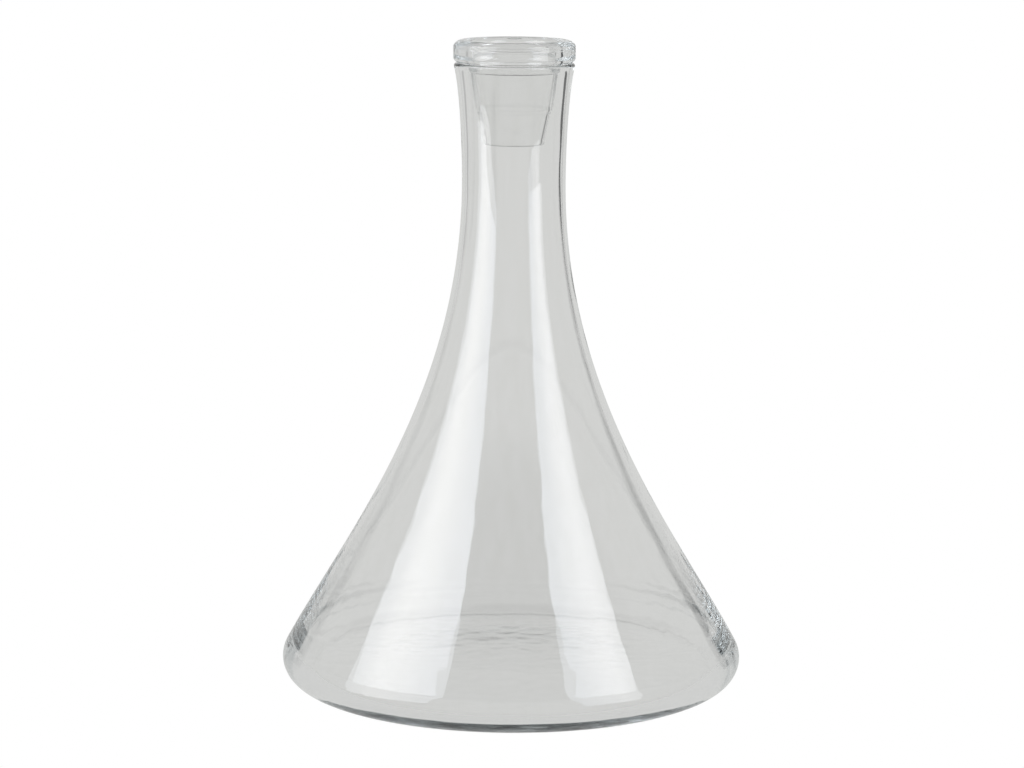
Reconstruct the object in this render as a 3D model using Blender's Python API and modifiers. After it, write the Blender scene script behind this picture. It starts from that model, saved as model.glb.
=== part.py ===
"""A glass wasp trap: a conical flask with a loose glass funnel hanging in its neck.

Metres, +Z up. The origin is the centre of the flask's foot, and +Z is the axis that both
pieces are turned on. The funnel's flange rests on the flask's mouth, and it lifts straight out.
"""

import math

import bpy

COLLECTION = "wasp_trap"
MM = 0.001
TOUCH_GAP = 0.3 * MM  # left between the flange and the mouth that it rests on

# Flask, outside
BASE_RADIUS = 74.7 * MM
HEEL_LOW_RADIUS = 8.0 * MM  # from the foot up to the widest point
HEEL_HIGH_RADIUS = 8.0 * MM  # from the widest point into the skirt
SKIRT_LEAN = math.radians(28.5)  # of the skirt, from upright
SKIRT_PULL = 39.2 * MM  # how long the skirt keeps its lean
NECK_PULL = 69.5 * MM  # how long the neck stays upright below its waist
WAIST_RADIUS = 16.6 * MM
WAIST_Z = 163.0 * MM
FLARE_LEAN = math.radians(13.6)
FLARE_PULL_LOW = 10.4 * MM
FLARE_PULL_HIGH = 8.7 * MM
MOUTH_RADIUS = 19.3 * MM
MOUTH_Z = 201.0 * MM
LIP_ROUND = 0.8 * MM

# Flask, inside
FLOOR = 4.0 * MM
FLOOR_CROWN = 0.6 * MM  # how much higher the floor is in its middle
CORNER_RADIUS = 3.0 * MM
CORNER_REACH = 70.0 * MM  # widest point of the inside
HEEL_WALL = 3.0 * MM
SKIRT_WALL = 1.7 * MM
MOUTH_WALL = 2.5 * MM
THIN_FROM_Z = 48.0 * MM  # the skirt's wall is thin between these two heights
THIN_TO_Z = 130.0 * MM

# Flask, underside
FOOT_RING_RADIUS = 50.0 * MM  # inner edge of the flat ring that it stands on
PUNT_RISE = 0.8 * MM

# Funnel
FLANGE_RADIUS = 19.45 * MM
FLANGE_TOP_Z = 208.4 * MM
CROWN_OUT = 3.2 * MM  # its top rounds over from its highest circle to its side, this far out
CROWN_OUT_DROP = 2.2 * MM  # and this far down
CROWN_IN = 2.5 * MM  # and from there to the bore
CROWN_IN_DROP = 2.8 * MM
FLANGE_LOW_ROUND = 1.5 * MM
PLUG_RADIUS = 15.1 * MM
PLUG_LOW_Z = 198.5 * MM
PLUG_ROUND = 0.5 * MM
CONE_TOP_RADIUS = 13.9 * MM
LEDGE_DROP = 0.3 * MM  # of the ledge from the plug to the cone
STEP_RADIUS = 12.5 * MM
STEP_Z = 187.2 * MM
STEP_DEPTH = 0.9 * MM
STEP_HEIGHT = 1.2 * MM
TIP_RADIUS = 9.75 * MM
TIP_Z = 175.3 * MM
TIP_WALL = 1.4 * MM
BORE_LOW_Z = 200.7 * MM
BORE_LOW_RADIUS = 13.2 * MM

# Flat steps round each stretch of the outlines
FLASK_SIDES = 48
FUNNEL_SIDES = 36
HEEL_LOW_STEPS = 6
HEEL_HIGH_STEPS = 2
BODY_STEPS = 12
FLARE_STEPS = 5
CORNER_STEPS = 5
FLOOR_STEPS = 4
LIP_STEPS = 3
CROWN_STEPS = 4
FLANGE_LOW_STEPS = 3
PLUG_STEPS = 2
TIP_STEPS = 4

GLASS_COLOUR = (0.90, 0.91, 0.90, 1.0)
GLASS_ROUGHNESS = 0.03
GLASS_IOR = 1.52


def oval(centre, across, up, start, end, steps):
    """Points (r, z) on part of an ellipse, from one angle to another, measured from outward to up."""
    points = []
    for i in range(steps + 1):
        angle = math.radians(start + (end - start) * i / steps)
        points.append((centre[0] + across * math.cos(angle), centre[1] + up * math.sin(angle)))
    return points


def arc(centre, radius, start, end, steps):
    """Points (r, z) on part of a circle."""
    return oval(centre, radius, radius, start, end, steps)


def bezier(start, pull_start, pull_end, end, steps):
    """Points (r, z) on a cubic Bezier curve."""
    points = []
    for i in range(steps + 1):
        t = i / steps
        weights = ((1 - t) ** 3, 3 * t * (1 - t) ** 2, 3 * t * t * (1 - t), t**3)
        corners = (start, pull_start, pull_end, end)
        points.append(tuple(sum(w * c[k] for w, c in zip(weights, corners)) for k in (0, 1)))
    return points


def smooth_step(value, low, high):
    """0 below low, 1 above high, and an S-curve between them."""
    t = min(max((value - low) / (high - low), 0.0), 1.0)
    return t * t * (3 - 2 * t)


def wall_at(z):
    """Thickness of the flask's wall: heavy at the heel, thin on the skirt, thicker at the mouth."""
    heel = (HEEL_WALL - SKIRT_WALL) * (1 - smooth_step(z, HEEL_LOW_RADIUS, THIN_FROM_Z)) ** 2
    mouth = (MOUTH_WALL - SKIRT_WALL) * smooth_step(z, THIN_TO_Z, MOUTH_Z)
    return SKIRT_WALL + heel + mouth


def inset(points):
    """The same outline moved inwards by the wall's thickness, across the direction it runs in."""
    moved = []
    for i, (r, z) in enumerate(points):
        before = points[max(i - 1, 0)]
        after = points[min(i + 1, len(points) - 1)]
        run = (after[0] - before[0], after[1] - before[1])
        length = math.hypot(*run)
        wall = wall_at(z)
        moved.append((r - wall * run[1] / length, z + wall * run[0] / length))
    return moved


def flask_heel():
    """Outside of the heel, from the foot's flat ring up to the skirt."""
    low_centre = (BASE_RADIUS - HEEL_LOW_RADIUS, HEEL_LOW_RADIUS)
    high_centre = (BASE_RADIUS - HEEL_HIGH_RADIUS, HEEL_LOW_RADIUS)
    low = arc(low_centre, HEEL_LOW_RADIUS, -90, 0, HEEL_LOW_STEPS)
    high = arc(high_centre, HEEL_HIGH_RADIUS, 0, math.degrees(SKIRT_LEAN), HEEL_HIGH_STEPS)
    return low + high[1:]


def flask_side(heel_top):
    """Outside from the heel's top to the mouth: the skirt and neck, then the flare."""
    up_skirt = (-math.sin(SKIRT_LEAN), math.cos(SKIRT_LEAN))
    skirt_handle = (heel_top[0] + SKIRT_PULL * up_skirt[0], heel_top[1] + SKIRT_PULL * up_skirt[1])
    waist = (WAIST_RADIUS, WAIST_Z)
    body = bezier(heel_top, skirt_handle, (WAIST_RADIUS, WAIST_Z - NECK_PULL), waist, BODY_STEPS)
    rim = (MOUTH_RADIUS, MOUTH_Z - LIP_ROUND)
    rim_handle = (
        rim[0] - FLARE_PULL_HIGH * math.sin(FLARE_LEAN),
        rim[1] - FLARE_PULL_HIGH * math.cos(FLARE_LEAN),
    )
    flare = bezier(waist, (WAIST_RADIUS, WAIST_Z + FLARE_PULL_LOW), rim_handle, rim, FLARE_STEPS)
    return body + flare[1:]


def flask_outline():
    """Half section of the flask: up the inside from the floor's centre, and down the outside."""
    heel = flask_heel()
    side = flask_side(heel[-1])
    inner_side = inset(side)
    corner_centre = (CORNER_REACH - CORNER_RADIUS, FLOOR + CORNER_RADIUS)
    lean = math.degrees(SKIRT_LEAN)
    corner = arc(corner_centre, CORNER_RADIUS, -90, lean, CORNER_STEPS)
    inner_side = [point for point in inner_side if point[1] > corner[-1][1] + CORNER_RADIUS]
    floor = []
    for i in range(FLOOR_STEPS):
        share = i / FLOOR_STEPS
        floor.append((share * corner_centre[0], FLOOR + FLOOR_CROWN * (1 - share**2)))
    lip_z = MOUTH_Z - LIP_ROUND
    lip_in = arc((MOUTH_RADIUS - MOUTH_WALL + LIP_ROUND, lip_z), LIP_ROUND, 180, 90, LIP_STEPS)
    lip_out = arc((MOUTH_RADIUS - LIP_ROUND, lip_z), LIP_ROUND, 90, 0, LIP_STEPS)
    punt = []
    for i in range(FLOOR_STEPS - 1, -1, -1):
        share = i / FLOOR_STEPS
        punt.append((share * FOOT_RING_RADIUS, PUNT_RISE * (1 - share**2)))
    underside = [(FOOT_RING_RADIUS, 0.0)] + punt
    inside = floor + corner + inner_side[:-1] + lip_in + lip_out
    return inside + side[-2::-1] + heel[-2::-1] + underside


def funnel_outline():
    """Closed half section of the funnel: up the inside, over the flange, down the outside."""
    crown_radius = FLANGE_RADIUS - CROWN_OUT
    crown_in_centre = (crown_radius, FLANGE_TOP_Z - CROWN_IN_DROP)
    crown_out_centre = (crown_radius, FLANGE_TOP_Z - CROWN_OUT_DROP)
    crown_in = oval(crown_in_centre, CROWN_IN, CROWN_IN_DROP, 180, 90, CROWN_STEPS)
    crown_out = oval(crown_out_centre, CROWN_OUT, CROWN_OUT_DROP, 90, 0, CROWN_STEPS)
    flange_low_z = MOUTH_Z + TOUCH_GAP
    low_centre = (FLANGE_RADIUS - FLANGE_LOW_ROUND, flange_low_z + FLANGE_LOW_ROUND)
    flange_low = arc(low_centre, FLANGE_LOW_ROUND, 0, -90, FLANGE_LOW_STEPS)
    plug_centre = (PLUG_RADIUS - PLUG_ROUND, PLUG_LOW_Z + PLUG_ROUND)
    plug = [(PLUG_RADIUS, flange_low_z)] + arc(plug_centre, PLUG_ROUND, 0, -90, PLUG_STEPS)
    cone_top = (CONE_TOP_RADIUS, PLUG_LOW_Z - LEDGE_DROP)
    step = [(STEP_RADIUS, STEP_Z), (STEP_RADIUS - STEP_DEPTH, STEP_Z - STEP_HEIGHT)]
    tip = arc((TIP_RADIUS - TIP_WALL / 2, TIP_Z + TIP_WALL / 2), TIP_WALL / 2, 0, -180, TIP_STEPS)
    bore = [(BORE_LOW_RADIUS, BORE_LOW_Z)]
    return bore + crown_in + crown_out[1:] + flange_low + plug + [cone_top] + step + tip


def glass(name):
    """Clear glass, with a faint grey in it."""
    material = bpy.data.materials.new(name)
    material.use_nodes = True
    shader = material.node_tree.nodes["Principled BSDF"]
    shader.inputs["Base Color"].default_value = GLASS_COLOUR
    shader.inputs["Roughness"].default_value = GLASS_ROUGHNESS
    shader.inputs["Metallic"].default_value = 0.0
    shader.inputs["IOR"].default_value = GLASS_IOR
    shader.inputs["Transmission Weight"].default_value = 1.0
    return material


def turned(name, outline, closed, sides, collection):
    """An object turned from a half section about the Z axis."""
    points = [(r, 0.0, z) for r, z in outline]
    edges = [(i, i + 1) for i in range(len(points) - 1)]
    if closed:
        edges.append((len(points) - 1, 0))
    mesh = bpy.data.meshes.new(name)
    mesh.from_pydata(points, edges, [])
    piece = bpy.data.objects.new(name, mesh)
    collection.objects.link(piece)
    screw = piece.modifiers.new("turn", "SCREW")
    screw.axis = "Z"
    screw.steps = sides
    screw.render_steps = sides
    screw.use_merge_vertices = True
    screw.merge_threshold = 0.00001
    screw.use_smooth_shade = True
    mesh.materials.append(glass(name + "_glass"))
    return piece


def main():
    for old in list(bpy.data.objects):
        bpy.data.objects.remove(old, do_unlink=True)
    collection = bpy.data.collections.new(COLLECTION)
    bpy.context.scene.collection.children.link(collection)
    turned("flask", flask_outline(), False, FLASK_SIDES, collection)
    turned("funnel_insert", funnel_outline(), True, FUNNEL_SIDES, collection)


main()
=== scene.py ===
import math

import bpy
from mathutils import Euler, Matrix, Vector


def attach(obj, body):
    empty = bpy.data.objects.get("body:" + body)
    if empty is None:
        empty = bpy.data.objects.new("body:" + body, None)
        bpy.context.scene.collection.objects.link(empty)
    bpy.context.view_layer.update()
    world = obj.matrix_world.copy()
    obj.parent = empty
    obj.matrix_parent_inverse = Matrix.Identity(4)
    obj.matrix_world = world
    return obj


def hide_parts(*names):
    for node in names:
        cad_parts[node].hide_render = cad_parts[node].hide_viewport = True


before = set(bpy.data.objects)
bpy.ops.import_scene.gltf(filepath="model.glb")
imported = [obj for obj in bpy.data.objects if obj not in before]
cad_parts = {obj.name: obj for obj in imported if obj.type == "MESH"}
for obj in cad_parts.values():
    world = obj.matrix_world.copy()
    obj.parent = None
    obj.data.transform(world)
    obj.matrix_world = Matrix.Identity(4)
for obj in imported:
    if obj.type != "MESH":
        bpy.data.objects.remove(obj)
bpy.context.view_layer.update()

MM = 0.001

# Flask, outside. The driving dimensions are the CAD's, unless a comment says otherwise
BASE_RADIUS = 74.7 * MM
HEEL_LOW_RADIUS = 8.0 * MM
HEEL_HIGH_RADIUS = 8.0 * MM
SKIRT_LEAN = math.radians(28.5)
SKIRT_PULL = 39.2 * MM
NECK_PULL = 69.5 * MM
WAIST_RADIUS = 16.6 * MM
WAIST_Z = 163.0 * MM
FLARE_LEAN = math.radians(13.6)
FLARE_PULL_LOW = 10.4 * MM
FLARE_PULL_HIGH = 8.7 * MM
MOUTH_RADIUS = 19.3 * MM
MOUTH_Z = 201.0 * MM
LIP_ROUND = 0.8 * MM

# Flask, inside
FLOOR = 4.0 * MM
FLOOR_CROWN = 0.6 * MM
CORNER_RADIUS = 5.0 * MM  # 3 mm in the CAD. A tighter corner shows a dark hook at each side
CORNER_REACH = 70.0 * MM
HEEL_WALL = 3.0 * MM
SKIRT_WALL = 1.7 * MM
MOUTH_WALL = 2.5 * MM
THIN_FROM_Z = 48.0 * MM
THIN_TO_Z = 130.0 * MM

# Flask, underside
FOOT_RING_RADIUS = 50.0 * MM
PUNT_RISE = 0.8 * MM

# Funnel
TOUCH_GAP = 0.3 * MM
FLANGE_RADIUS = 19.45 * MM
FLANGE_TOP_Z = 208.4 * MM
CROWN_OUT = 3.2 * MM
CROWN_OUT_DROP = 2.2 * MM
CROWN_IN = 2.5 * MM
CROWN_IN_DROP = 2.8 * MM
SEAM_DEPTH = 0.08 * MM  # of a fine groove round the flange's shoulder, which the CAD doesn't have
SEAM_HALF_HEIGHT = 0.12 * MM
FLANGE_LOW_ROUND = 1.5 * MM
PLUG_RADIUS = 15.1 * MM
PLUG_LOW_Z = 198.5 * MM
PLUG_ROUND = 0.5 * MM
CONE_TOP_RADIUS = 13.9 * MM
LEDGE_DROP = 0.3 * MM
STEP_RADIUS = 12.5 * MM
STEP_Z = 187.2 * MM
STEP_DEPTH = 0.9 * MM
STEP_HEIGHT = 1.2 * MM
STEP_BLEND = 1.2 * MM  # added to the CAD's height of the step, so that less of a line shows
TIP_RADIUS = 9.75 * MM
TIP_Z = 175.3 * MM
TIP_WALL = 1.4 * MM
BORE_LOW_Z = 200.7 * MM
BORE_LOW_RADIUS = 13.2 * MM

# Steps round each stretch of the outlines
FLASK_SIDES = 256
FUNNEL_SIDES = 192
HEEL_LOW_STEPS = 48
HEEL_HIGH_STEPS = 16
BODY_STEPS = 72
FLARE_STEPS = 24
CORNER_STEPS = 32
FLOOR_STEPS = 16
LIP_STEPS = 7
FOOT_STEPS = 6
CROWN_IN_STEPS = 18
CROWN_OUT_STEPS = 20
FLANGE_SIDE_STEPS = 4
FLANGE_LOW_STEPS = 10
PLUG_SIDE_STEPS = 4
PLUG_STEPS = 6
CONE_STEPS = 10
STEP_STEPS = 10
TIP_STEPS = 14
BORE_STEPS = 20
UPPER_BORE_STEPS = 6
MERGE_WITHIN = 0.000002
SHARP_ANGLE = math.radians(50)

# Camera, from the photo's perspective
CAMERA_DISTANCE = 1.0246
CAMERA_SIDE = -0.0002
CAMERA_HEIGHT = 0.2736
CAMERA_PITCH = math.radians(9.76)
CAMERA_ROLL = math.radians(0.331)
CAMERA_LENS = 112.94

# Studio, as the glass mirrors and bends it
FLOOR_HALF_SIZE = 3.0
FLOOR_Z = -0.3 * MM
WHITE = (1.0, 1.0, 1.0, 1.0)
STUDIO_GREY = (0.674, 0.676, 0.665, 1.0)
FLAG_GREY = (0.03, 0.03, 0.032, 1.0)
CEILING_FROM = 0.50  # the ceiling darkens between these sines of elevation
CEILING_TO = 0.70
FLAG_EDGE = 0.983  # sine of twice the angle from a side: the flags are about 10 degrees wide
FLAG_CORE = 0.996
PALE_FLAG = 0.35  # how strong the flags on the other diagonal are
TABLE_REACH = 0.62  # the flags' dark feet on the floor begin about this far out
LAMP_AIM_Z = 0.1
MIRRORED_DEPTH = 0.5  # a path with more glossy bounces than this has been mirrored
NEAR_WALL_DEPTH = 2.5  # a path with fewer passages through glass than this is still at the near wall
ABSORPTION_COLOUR = (0.40, 0.46, 0.48, 1.0)
ABSORPTION_DENSITY = 9.0
GLASS_IOR = 1.52
STREAK_SCALE = (60, 60, 7)
STREAK_RANGE = (0.35, 0.65)
SMEAR_SCALE = (35, 35, 12)
SMEAR_RANGE = (0.5, 0.8)
SMEAR_ROUGHNESS = 0.02
GLASS_LOW = (0.977, 0.978, 0.974, 1.0)
GLASS_HIGH = (0.993, 0.993, 0.993, 1.0)
# Waves in the surface: their scale per metre along each axis, and the bump's strength and depth in metres
BROAD_WAVES = ((22, 22, 9), 1.0, 0.00010)
FINE_WAVES = ((90, 90, 30), 1.0, 0.0000012)
RIPPLES = ((35, 35, 260), 1.0, 0.00003)
RIPPLE_SPOT = (-0.058, -0.006, 0.046)  # centre of the patch that has them, low on the left
RIPPLE_REACH = 0.022

GLASS_BOUNCES = 96  # light is guided a long way through the floor of the flask
MIRROR_BOUNCES = 64

# Lamps: azimuth from the camera's side, elevation, roll, half angles, distance, lift, radiance and colours
LEFT_COLOURS = ((0.0, (0.62, 0.64, 0.67)), (0.4, (0.98, 0.985, 1.0)), (1.0, (0.68, 0.71, 0.77)))
LEFT_LAMP = (-65, 25, 7, (25, 33), 0.8, 0.16, 3.9, LEFT_COLOURS)
RIGHT_COLOURS = ((0.0, (0.60, 0.64, 0.70)), (0.7, (0.96, 0.97, 1.0)), (1.0, (0.75, 0.76, 0.78)))
RIGHT_LAMP = (51, 29, -3, (17, 31), 0.8, 0.0, 3.7, RIGHT_COLOURS)


def oval(centre, across, up, start, end, steps):
    """Points (r, z) on part of an ellipse, from one angle to another, measured from outward to up."""
    points = []
    for i in range(steps + 1):
        angle = math.radians(start + (end - start) * i / steps)
        points.append((centre[0] + across * math.cos(angle), centre[1] + up * math.sin(angle)))
    return points


def arc(centre, radius, start, end, steps):
    """Points (r, z) on part of a circle."""
    return oval(centre, radius, radius, start, end, steps)


def bezier(start, pull_start, pull_end, end, steps):
    """Points (r, z) on a cubic Bezier curve."""
    points = []
    for i in range(steps + 1):
        t = i / steps
        weights = ((1 - t) ** 3, 3 * t * (1 - t) ** 2, 3 * t * t * (1 - t), t**3)
        corners = (start, pull_start, pull_end, end)
        points.append(tuple(sum(w * c[k] for w, c in zip(weights, corners)) for k in (0, 1)))
    return points


def line(start, end, steps):
    """Points from start, which is left out, to end."""
    return [tuple(start[k] + (end[k] - start[k]) * i / steps for k in (0, 1)) for i in range(1, steps + 1)]


def smooth_step(value, low, high):
    """0 below low, 1 above high, and an S-curve between them."""
    t = min(max((value - low) / (high - low), 0.0), 1.0)
    return t * t * (3 - 2 * t)


def wall_at(z):
    """Thickness of the flask's wall: heavy at the heel, thin on the skirt, thicker at the mouth."""
    heel = (HEEL_WALL - SKIRT_WALL) * (1 - smooth_step(z, HEEL_LOW_RADIUS, THIN_FROM_Z)) ** 2
    mouth = (MOUTH_WALL - SKIRT_WALL) * smooth_step(z, THIN_TO_Z, MOUTH_Z)
    return SKIRT_WALL + heel + mouth


def inset(points):
    """The same outline moved inwards by the wall's thickness, across the direction it runs in."""
    moved = []
    for i, (r, z) in enumerate(points):
        before = points[max(i - 1, 0)]
        after = points[min(i + 1, len(points) - 1)]
        run = (after[0] - before[0], after[1] - before[1])
        length = math.hypot(*run)
        wall = wall_at(z)
        moved.append((r - wall * run[1] / length, z + wall * run[0] / length))
    return moved


def flask_heel():
    """Outside of the heel, from the foot's flat ring up to the skirt."""
    low_centre = (BASE_RADIUS - HEEL_LOW_RADIUS, HEEL_LOW_RADIUS)
    high_centre = (BASE_RADIUS - HEEL_HIGH_RADIUS, HEEL_LOW_RADIUS)
    low = arc(low_centre, HEEL_LOW_RADIUS, -90, 0, HEEL_LOW_STEPS)
    high = arc(high_centre, HEEL_HIGH_RADIUS, 0, math.degrees(SKIRT_LEAN), HEEL_HIGH_STEPS)
    return low + high[1:]


def flask_side(heel_top):
    """Outside from the heel's top to the mouth: the skirt and neck, then the flare."""
    up_skirt = (-math.sin(SKIRT_LEAN), math.cos(SKIRT_LEAN))
    skirt_handle = (heel_top[0] + SKIRT_PULL * up_skirt[0], heel_top[1] + SKIRT_PULL * up_skirt[1])
    waist = (WAIST_RADIUS, WAIST_Z)
    body = bezier(heel_top, skirt_handle, (WAIST_RADIUS, WAIST_Z - NECK_PULL), waist, BODY_STEPS)
    rim = (MOUTH_RADIUS, MOUTH_Z - LIP_ROUND)
    rim_handle = (
        rim[0] - FLARE_PULL_HIGH * math.sin(FLARE_LEAN),
        rim[1] - FLARE_PULL_HIGH * math.cos(FLARE_LEAN),
    )
    flare = bezier(waist, (WAIST_RADIUS, WAIST_Z + FLARE_PULL_LOW), rim_handle, rim, FLARE_STEPS)
    return body + flare[1:]


def flask_outline():
    """Half section of the flask: up the inside from the floor's centre, and down the outside."""
    heel = flask_heel()
    side = flask_side(heel[-1])
    corner_centre = (CORNER_REACH - CORNER_RADIUS, FLOOR + CORNER_RADIUS)
    corner = arc(corner_centre, CORNER_RADIUS, -90, math.degrees(SKIRT_LEAN), CORNER_STEPS)
    inner_side = inset(side)
    inner_side = [point for point in inner_side if point[1] > corner[-1][1] + CORNER_RADIUS]
    floor = []
    for i in range(FLOOR_STEPS):
        share = i / FLOOR_STEPS
        floor.append((share * corner_centre[0], FLOOR + FLOOR_CROWN * (1 - share**2)))
    lip_z = MOUTH_Z - LIP_ROUND
    lip_in = arc((MOUTH_RADIUS - MOUTH_WALL + LIP_ROUND, lip_z), LIP_ROUND, 180, 90, LIP_STEPS)
    lip_out = arc((MOUTH_RADIUS - LIP_ROUND, lip_z), LIP_ROUND, 90, 0, LIP_STEPS)
    punt = []
    for i in range(FLOOR_STEPS - 1, -1, -1):
        share = i / FLOOR_STEPS
        punt.append((share * FOOT_RING_RADIUS, PUNT_RISE * (1 - share**2)))
    foot = line(heel[0], (FOOT_RING_RADIUS, 0.0), FOOT_STEPS)
    inside = floor + corner + inner_side[:-1] + lip_in + lip_out
    return inside + side[-2::-1] + heel[-2::-1] + foot + punt


def funnel_outline():
    """Closed half section of the funnel: up the inside, over the flange, down the outside."""
    crown_radius = FLANGE_RADIUS - CROWN_OUT
    crown_in_centre = (crown_radius, FLANGE_TOP_Z - CROWN_IN_DROP)
    crown_out_centre = (crown_radius, FLANGE_TOP_Z - CROWN_OUT_DROP)
    crown_in = oval(crown_in_centre, CROWN_IN, CROWN_IN_DROP, 180, 90, CROWN_IN_STEPS)
    crown_out = oval(crown_out_centre, CROWN_OUT, CROWN_OUT_DROP, 90, 0, CROWN_OUT_STEPS)
    seam_z = crown_out[-1][1] - SEAM_HALF_HEIGHT
    seam = [(FLANGE_RADIUS - SEAM_DEPTH, seam_z), (FLANGE_RADIUS, seam_z - SEAM_HALF_HEIGHT)]
    flange_low_z = MOUTH_Z + TOUCH_GAP
    low_centre = (FLANGE_RADIUS - FLANGE_LOW_ROUND, flange_low_z + FLANGE_LOW_ROUND)
    flange_low = arc(low_centre, FLANGE_LOW_ROUND, 0, -90, FLANGE_LOW_STEPS)
    side = seam + line(seam[-1], flange_low[0], FLANGE_SIDE_STEPS)[:-1]
    plug_centre = (PLUG_RADIUS - PLUG_ROUND, PLUG_LOW_Z + PLUG_ROUND)
    plug_side = line(flange_low[-1], (PLUG_RADIUS, flange_low_z), PLUG_SIDE_STEPS)
    plug = plug_side + arc(plug_centre, PLUG_ROUND, 0, -90, PLUG_STEPS)
    cone_top = (CONE_TOP_RADIUS, PLUG_LOW_Z - LEDGE_DROP)
    step_top = (STEP_RADIUS, STEP_Z)
    step_low = (STEP_RADIUS - STEP_DEPTH, STEP_Z - STEP_HEIGHT - STEP_BLEND)
    step_handle = (STEP_RADIUS - 0.1 * STEP_DEPTH, STEP_Z - 0.5 * (STEP_HEIGHT + STEP_BLEND))
    low_handle = (STEP_RADIUS - 0.9 * STEP_DEPTH, STEP_Z - 0.5 * (STEP_HEIGHT + STEP_BLEND))
    step = bezier(step_top, step_handle, low_handle, step_low, STEP_STEPS)
    tip = arc((TIP_RADIUS - TIP_WALL / 2, TIP_Z + TIP_WALL / 2), TIP_WALL / 2, 0, -180, TIP_STEPS)
    cone_high = [cone_top] + line(cone_top, step_top, CONE_STEPS)[:-1]
    outside = cone_high + step + line(step_low, tip[0], CONE_STEPS)[:-1]
    bore = line(tip[-1], (BORE_LOW_RADIUS, BORE_LOW_Z), BORE_STEPS)
    upper_bore = line(bore[-1], crown_in[0], UPPER_BORE_STEPS)[:-1]
    return bore + upper_bore + crown_in + crown_out[1:] + side + flange_low + plug + outside + tip


def turned(name, outline, closed, sides):
    """A mesh object turned from a half section about the Z axis."""
    mesh = bpy.data.meshes.new(name)
    edges = [(i, i + 1) for i in range(len(outline) - 1)]
    if closed:
        edges.append((len(outline) - 1, 0))
    mesh.from_pydata([(r, 0.0, z) for r, z in outline], edges, [])
    piece = bpy.data.objects.new(name, mesh)
    bpy.context.scene.collection.objects.link(piece)
    screw = piece.modifiers.new("turn", "SCREW")
    screw.axis = "Z"
    screw.steps = sides
    screw.render_steps = sides
    screw.use_merge_vertices = True
    screw.merge_threshold = MERGE_WITHIN
    screw.use_smooth_shade = True
    graph = bpy.context.evaluated_depsgraph_get()
    made = bpy.data.meshes.new_from_object(piece.evaluated_get(graph))
    piece.modifiers.clear()
    piece.data = made
    bpy.data.meshes.remove(mesh)
    made.shade_smooth()
    made.set_sharp_from_angle(angle=SHARP_ANGLE)
    return piece


def math_node(tree, operation, *inputs):
    """A Math node's output. Each input is a number or another node's output."""
    node = tree.nodes.new("ShaderNodeMath")
    node.operation = operation
    for socket, value in zip(node.inputs, inputs):
        if isinstance(value, (int, float)):
            socket.default_value = value
        else:
            tree.links.new(value, socket)
    return node.outputs[0]


def ramp_node(tree, value, low, high):
    """0 below low, 1 above high, and an S-curve between them."""
    node = tree.nodes.new("ShaderNodeMapRange")
    node.interpolation_type = "SMOOTHSTEP"
    node.inputs["From Min"].default_value = low
    node.inputs["From Max"].default_value = high
    tree.links.new(value, node.inputs["Value"])
    return node.outputs["Result"]


def colour_mix(tree, factor, low, high):
    """A mix of two colours, each a tuple or another node's output."""
    node = tree.nodes.new("ShaderNodeMix")
    node.data_type = "RGBA"
    tree.links.new(factor, node.inputs["Factor"])
    for socket, value in ((node.inputs["A"], low), (node.inputs["B"], high)):
        if isinstance(value, tuple):
            socket.default_value = value
        else:
            tree.links.new(value, socket)
    return node.outputs["Result"]


def flag_mask(tree, vector):
    """How far a direction lies in the flags that stand on the diagonals, its distance out, and its height."""
    split = tree.nodes.new("ShaderNodeSeparateXYZ")
    tree.links.new(vector, split.inputs[0])
    x, y = split.outputs["X"], split.outputs["Y"]
    twice = math_node(tree, "MULTIPLY", math_node(tree, "ARCTAN2", y, x), 2.0)
    diagonal = math_node(tree, "SINE", twice)
    dark = ramp_node(tree, diagonal, FLAG_EDGE, FLAG_CORE)
    other = ramp_node(tree, math_node(tree, "MULTIPLY", diagonal, -1.0), FLAG_EDGE, FLAG_CORE)
    mask = math_node(tree, "ADD", dark, math_node(tree, "MULTIPLY", other, PALE_FLAG))
    square = math_node(tree, "ADD", math_node(tree, "MULTIPLY", x, x), math_node(tree, "MULTIPLY", y, y))
    return mask, math_node(tree, "SQRT", square), split.outputs["Z"]


def new_node(tree, kind, settings, inputs):
    """A node with its settings and its inputs, each a value or another node's output."""
    node = tree.nodes.new(kind)
    for key, value in settings.items():
        setattr(node, key, value)
    for key, value in inputs.items():
        if isinstance(value, bpy.types.NodeSocket):
            tree.links.new(value, node.inputs[key])
        else:
            node.inputs[key].default_value = value
    return node


def stretched(tree, scale):
    """The object's own coordinates, scaled along each axis."""
    place = tree.nodes.new("ShaderNodeTexCoord")
    mapping = new_node(tree, "ShaderNodeMapping", {}, {"Vector": place.outputs["Object"], "Scale": scale})
    return mapping.outputs["Vector"]


def ripple_height(tree, scale):
    """Close ripples that fade out round one spot of the flask's side."""
    wave = new_node(tree, "ShaderNodeTexNoise", {}, {"Vector": stretched(tree, scale), "Detail": 0.0})
    place = tree.nodes.new("ShaderNodeTexCoord")
    away = new_node(
        tree, "ShaderNodeVectorMath", {"operation": "DISTANCE"}, {0: place.outputs["Object"], 1: RIPPLE_SPOT}
    )
    fade = ramp_node(tree, away.outputs["Value"], 0.3 * RIPPLE_REACH, RIPPLE_REACH)
    near = math_node(tree, "SUBTRACT", 1.0, fade)
    return math_node(tree, "MULTIPLY", wave.outputs["Fac"], near)


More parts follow.
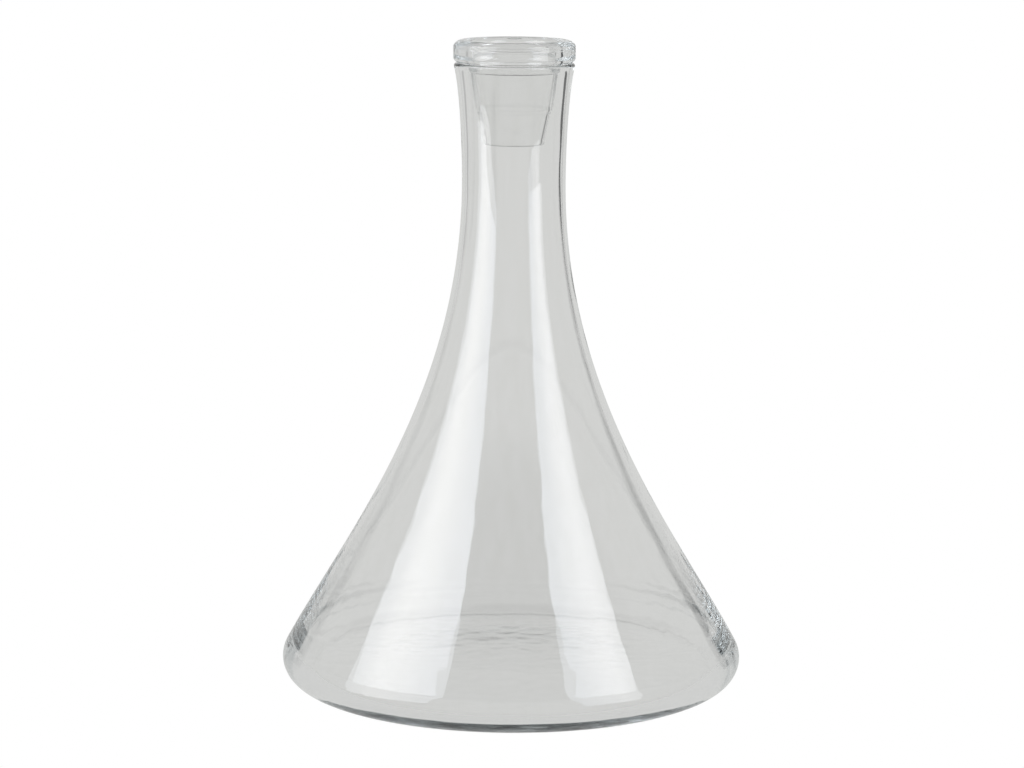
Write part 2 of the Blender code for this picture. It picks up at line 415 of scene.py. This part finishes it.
def glass(name, waves, rippled):
    """Clear glass. It is a little wavy, it has faint streaks, and long paths in it turn grey."""
    material = bpy.data.materials.new(name)
    material.use_nodes = True
    tree = material.node_tree
    shader = tree.nodes["Principled BSDF"]
    shader.inputs["IOR"].default_value = GLASS_IOR
    shader.inputs["Transmission Weight"].default_value = 1.0
    streak_inputs = {"Vector": stretched(tree, STREAK_SCALE), "Detail": 3.0}
    streak = new_node(tree, "ShaderNodeTexNoise", {}, streak_inputs)
    low, high = STREAK_RANGE
    tint_inputs = {"Value": streak.outputs["Fac"], "From Min": low, "From Max": high}
    tint = new_node(tree, "ShaderNodeMapRange", {}, tint_inputs)
    colour = colour_mix(tree, tint.outputs["Result"], GLASS_LOW, GLASS_HIGH)
    tree.links.new(colour, shader.inputs["Base Color"])
    smear_inputs = {"Vector": stretched(tree, SMEAR_SCALE), "Detail": 2.0}
    smear = new_node(tree, "ShaderNodeTexNoise", {}, smear_inputs)
    low, high = SMEAR_RANGE
    haze_inputs = {
        "Value": smear.outputs["Fac"],
        "From Min": low,
        "From Max": high,
        "To Min": 0.0,
        "To Max": SMEAR_ROUGHNESS,
    }
    haze = new_node(tree, "ShaderNodeMapRange", {}, haze_inputs)
    tree.links.new(haze.outputs["Result"], shader.inputs["Roughness"])
    normal = None
    for scale, strength, distance in waves:
        wave = new_node(tree, "ShaderNodeTexNoise", {}, {"Vector": stretched(tree, scale), "Detail": 1.0})
        inputs = {"Height": wave.outputs["Fac"], "Strength": strength, "Distance": distance}
        if normal:
            inputs["Normal"] = normal
        normal = new_node(tree, "ShaderNodeBump", {}, inputs).outputs["Normal"]
    if rippled:
        scale, strength, distance = RIPPLES
        height = ripple_height(tree, scale)
        inputs = {"Height": height, "Strength": strength, "Distance": distance, "Normal": normal}
        normal = new_node(tree, "ShaderNodeBump", {}, inputs).outputs["Normal"]
    tree.links.new(normal, shader.inputs["Normal"])
    volume = tree.nodes.new("ShaderNodeVolumeAbsorption")
    volume.inputs["Color"].default_value = ABSORPTION_COLOUR
    volume.inputs["Density"].default_value = ABSORPTION_DENSITY
    tree.links.new(volume.outputs["Volume"], tree.nodes["Material Output"].inputs["Volume"])
    return material


def softbox(name, azimuth, elevation, roll, half_angles, distance, inner_lift, radiance, stops):
    """A lamp panel that faces the trap, with its low corner towards the camera lifted.

    Azimuth is from the camera's side, + to the right. The lamp shines only where the near wall
    of glass mirrors it. Everywhere else it is as grey as the studio, which no real lamp is.
    """
    half_x = distance * math.tan(math.radians(half_angles[0]))
    half_y = distance * math.tan(math.radians(half_angles[1]))
    mesh = bpy.data.meshes.new(name)
    left_lift, right_lift = (0.0, inner_lift) if azimuth < 0 else (inner_lift, 0.0)
    corners = [
        (-half_x, left_lift - half_y, 0),
        (half_x, right_lift - half_y, 0),
        (half_x, half_y, 0),
        (-half_x, half_y, 0),
    ]
    mesh.from_pydata(corners, [], [(0, 1, 2, 3)])
    panel = bpy.data.objects.new(name, mesh)
    bpy.context.scene.collection.objects.link(panel)
    a, e = math.radians(azimuth), math.radians(elevation)
    out = Vector((math.sin(a) * math.cos(e), -math.cos(a) * math.cos(e), math.sin(e)))
    facing = out.to_track_quat("Z", "Y").to_matrix().to_4x4()
    spin = Matrix.Rotation(math.radians(roll), 4, "Z")
    panel.matrix_world = Matrix.Translation(Vector((0, 0, LAMP_AIM_Z)) + out * distance) @ facing @ spin
    panel.visible_camera = False
    material = bpy.data.materials.new(name)
    material.use_nodes = True
    tree = material.node_tree
    tree.nodes.clear()
    place = tree.nodes.new("ShaderNodeTexCoord")
    split = tree.nodes.new("ShaderNodeSeparateXYZ")
    tree.links.new(place.outputs["Generated"], split.inputs[0])
    ramp = tree.nodes.new("ShaderNodeValToRGB")
    ramp.color_ramp.interpolation = "EASE"
    while len(ramp.color_ramp.elements) < len(stops):
        ramp.color_ramp.elements.new(0.5)
    for element, (position, colour) in zip(ramp.color_ramp.elements, stops):
        element.position = position
        element.color = (*colour, 1)
    tree.links.new(split.outputs["X"], ramp.inputs["Fac"])
    path = tree.nodes.new("ShaderNodeLightPath")
    mirrored = math_node(tree, "GREATER_THAN", path.outputs["Glossy Depth"], MIRRORED_DEPTH)
    near_wall = math_node(tree, "LESS_THAN", path.outputs["Transmission Depth"], NEAR_WALL_DEPTH)
    mirrored = math_node(tree, "MULTIPLY", mirrored, near_wall)
    lit = tree.nodes.new("ShaderNodeEmission")
    tree.links.new(ramp.outputs["Color"], lit.inputs["Color"])
    lit.inputs["Strength"].default_value = radiance
    plain = tree.nodes.new("ShaderNodeEmission")
    plain.inputs["Color"].default_value = STUDIO_GREY
    mix = tree.nodes.new("ShaderNodeMixShader")
    tree.links.new(mirrored, mix.inputs[0])
    tree.links.new(plain.outputs[0], mix.inputs[1])
    tree.links.new(lit.outputs[0], mix.inputs[2])
    surface = tree.nodes.new("ShaderNodeOutputMaterial")
    tree.links.new(mix.outputs[0], surface.inputs["Surface"])
    mesh.materials.append(material)


def set_world():
    """White where the camera looks straight at it, and a grey studio for all that glass mirrors or bends."""
    world = bpy.data.worlds.new("studio")
    bpy.context.scene.world = world
    world.use_nodes = True
    tree = world.node_tree
    place = tree.nodes.new("ShaderNodeTexCoord")
    mask, _, up = flag_mask(tree, place.outputs["Generated"])
    high = ramp_node(tree, up, CEILING_FROM, CEILING_TO)
    studio = colour_mix(tree, math_node(tree, "MAXIMUM", mask, high), STUDIO_GREY, FLAG_GREY)
    path = tree.nodes.new("ShaderNodeLightPath")
    seen = colour_mix(tree, path.outputs["Is Camera Ray"], studio, WHITE)
    tree.links.new(seen, tree.nodes["Background"].inputs["Color"])


def make_floor():
    """A plain floor that is white where the camera looks straight at it, and grey with flags in the glass."""
    mesh = bpy.data.meshes.new("floor")
    size, z = FLOOR_HALF_SIZE, FLOOR_Z
    corners = [(-size, -size, z), (size, -size, z), (size, size, z), (-size, size, z)]
    mesh.from_pydata(corners, [], [(0, 1, 2, 3)])
    floor = bpy.data.objects.new("floor", mesh)
    bpy.context.scene.collection.objects.link(floor)
    material = bpy.data.materials.new("floor")
    material.use_nodes = True
    tree = material.node_tree
    tree.nodes.clear()
    place = tree.nodes.new("ShaderNodeTexCoord")
    mask, out, _ = flag_mask(tree, place.outputs["Object"])
    far = ramp_node(tree, out, TABLE_REACH * 0.85, TABLE_REACH * 1.15)
    studio = colour_mix(tree, math_node(tree, "MULTIPLY", mask, far), STUDIO_GREY, FLAG_GREY)
    path = tree.nodes.new("ShaderNodeLightPath")
    seen = colour_mix(tree, path.outputs["Is Camera Ray"], studio, WHITE)
    glow = tree.nodes.new("ShaderNodeEmission")
    tree.links.new(seen, glow.inputs["Color"])
    surface = tree.nodes.new("ShaderNodeOutputMaterial")
    tree.links.new(glow.outputs[0], surface.inputs["Surface"])
    mesh.materials.append(material)


def set_camera():
    data = bpy.data.cameras.new("camera")
    data.lens = CAMERA_LENS
    data.sensor_width = 36.0
    camera = bpy.data.objects.new("camera", data)
    bpy.context.scene.collection.objects.link(camera)
    look = Euler((math.radians(90) - CAMERA_PITCH, 0.0, 0.0)).to_matrix().to_4x4()
    roll = Matrix.Rotation(CAMERA_ROLL, 4, "Z")
    camera.matrix_world = Matrix.Translation((CAMERA_SIDE, -CAMERA_DISTANCE, CAMERA_HEIGHT)) @ look @ roll
    bpy.context.scene.camera = camera


def main():
    scene = bpy.context.scene
    scene.view_settings.view_transform = "Standard"
    scene.cycles.max_bounces = GLASS_BOUNCES
    scene.cycles.transmission_bounces = GLASS_BOUNCES
    scene.cycles.glossy_bounces = MIRROR_BOUNCES
    set_camera()
    set_world()
    make_floor()
    softbox("softbox_left", *LEFT_LAMP)
    softbox("softbox_right", *RIGHT_LAMP)
    flask = turned("flask_body", flask_outline(), False, FLASK_SIDES)
    flask.data.materials.append(glass("flask_glass", (BROAD_WAVES, FINE_WAVES), True))
    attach(flask, "flask")
    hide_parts("flask")
    funnel = turned("funnel_glass", funnel_outline(), True, FUNNEL_SIDES)
    funnel.data.materials.append(glass("funnel_glass", (FINE_WAVES,), False))
    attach(funnel, "funnel")
    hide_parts("funnel_insert")


main()
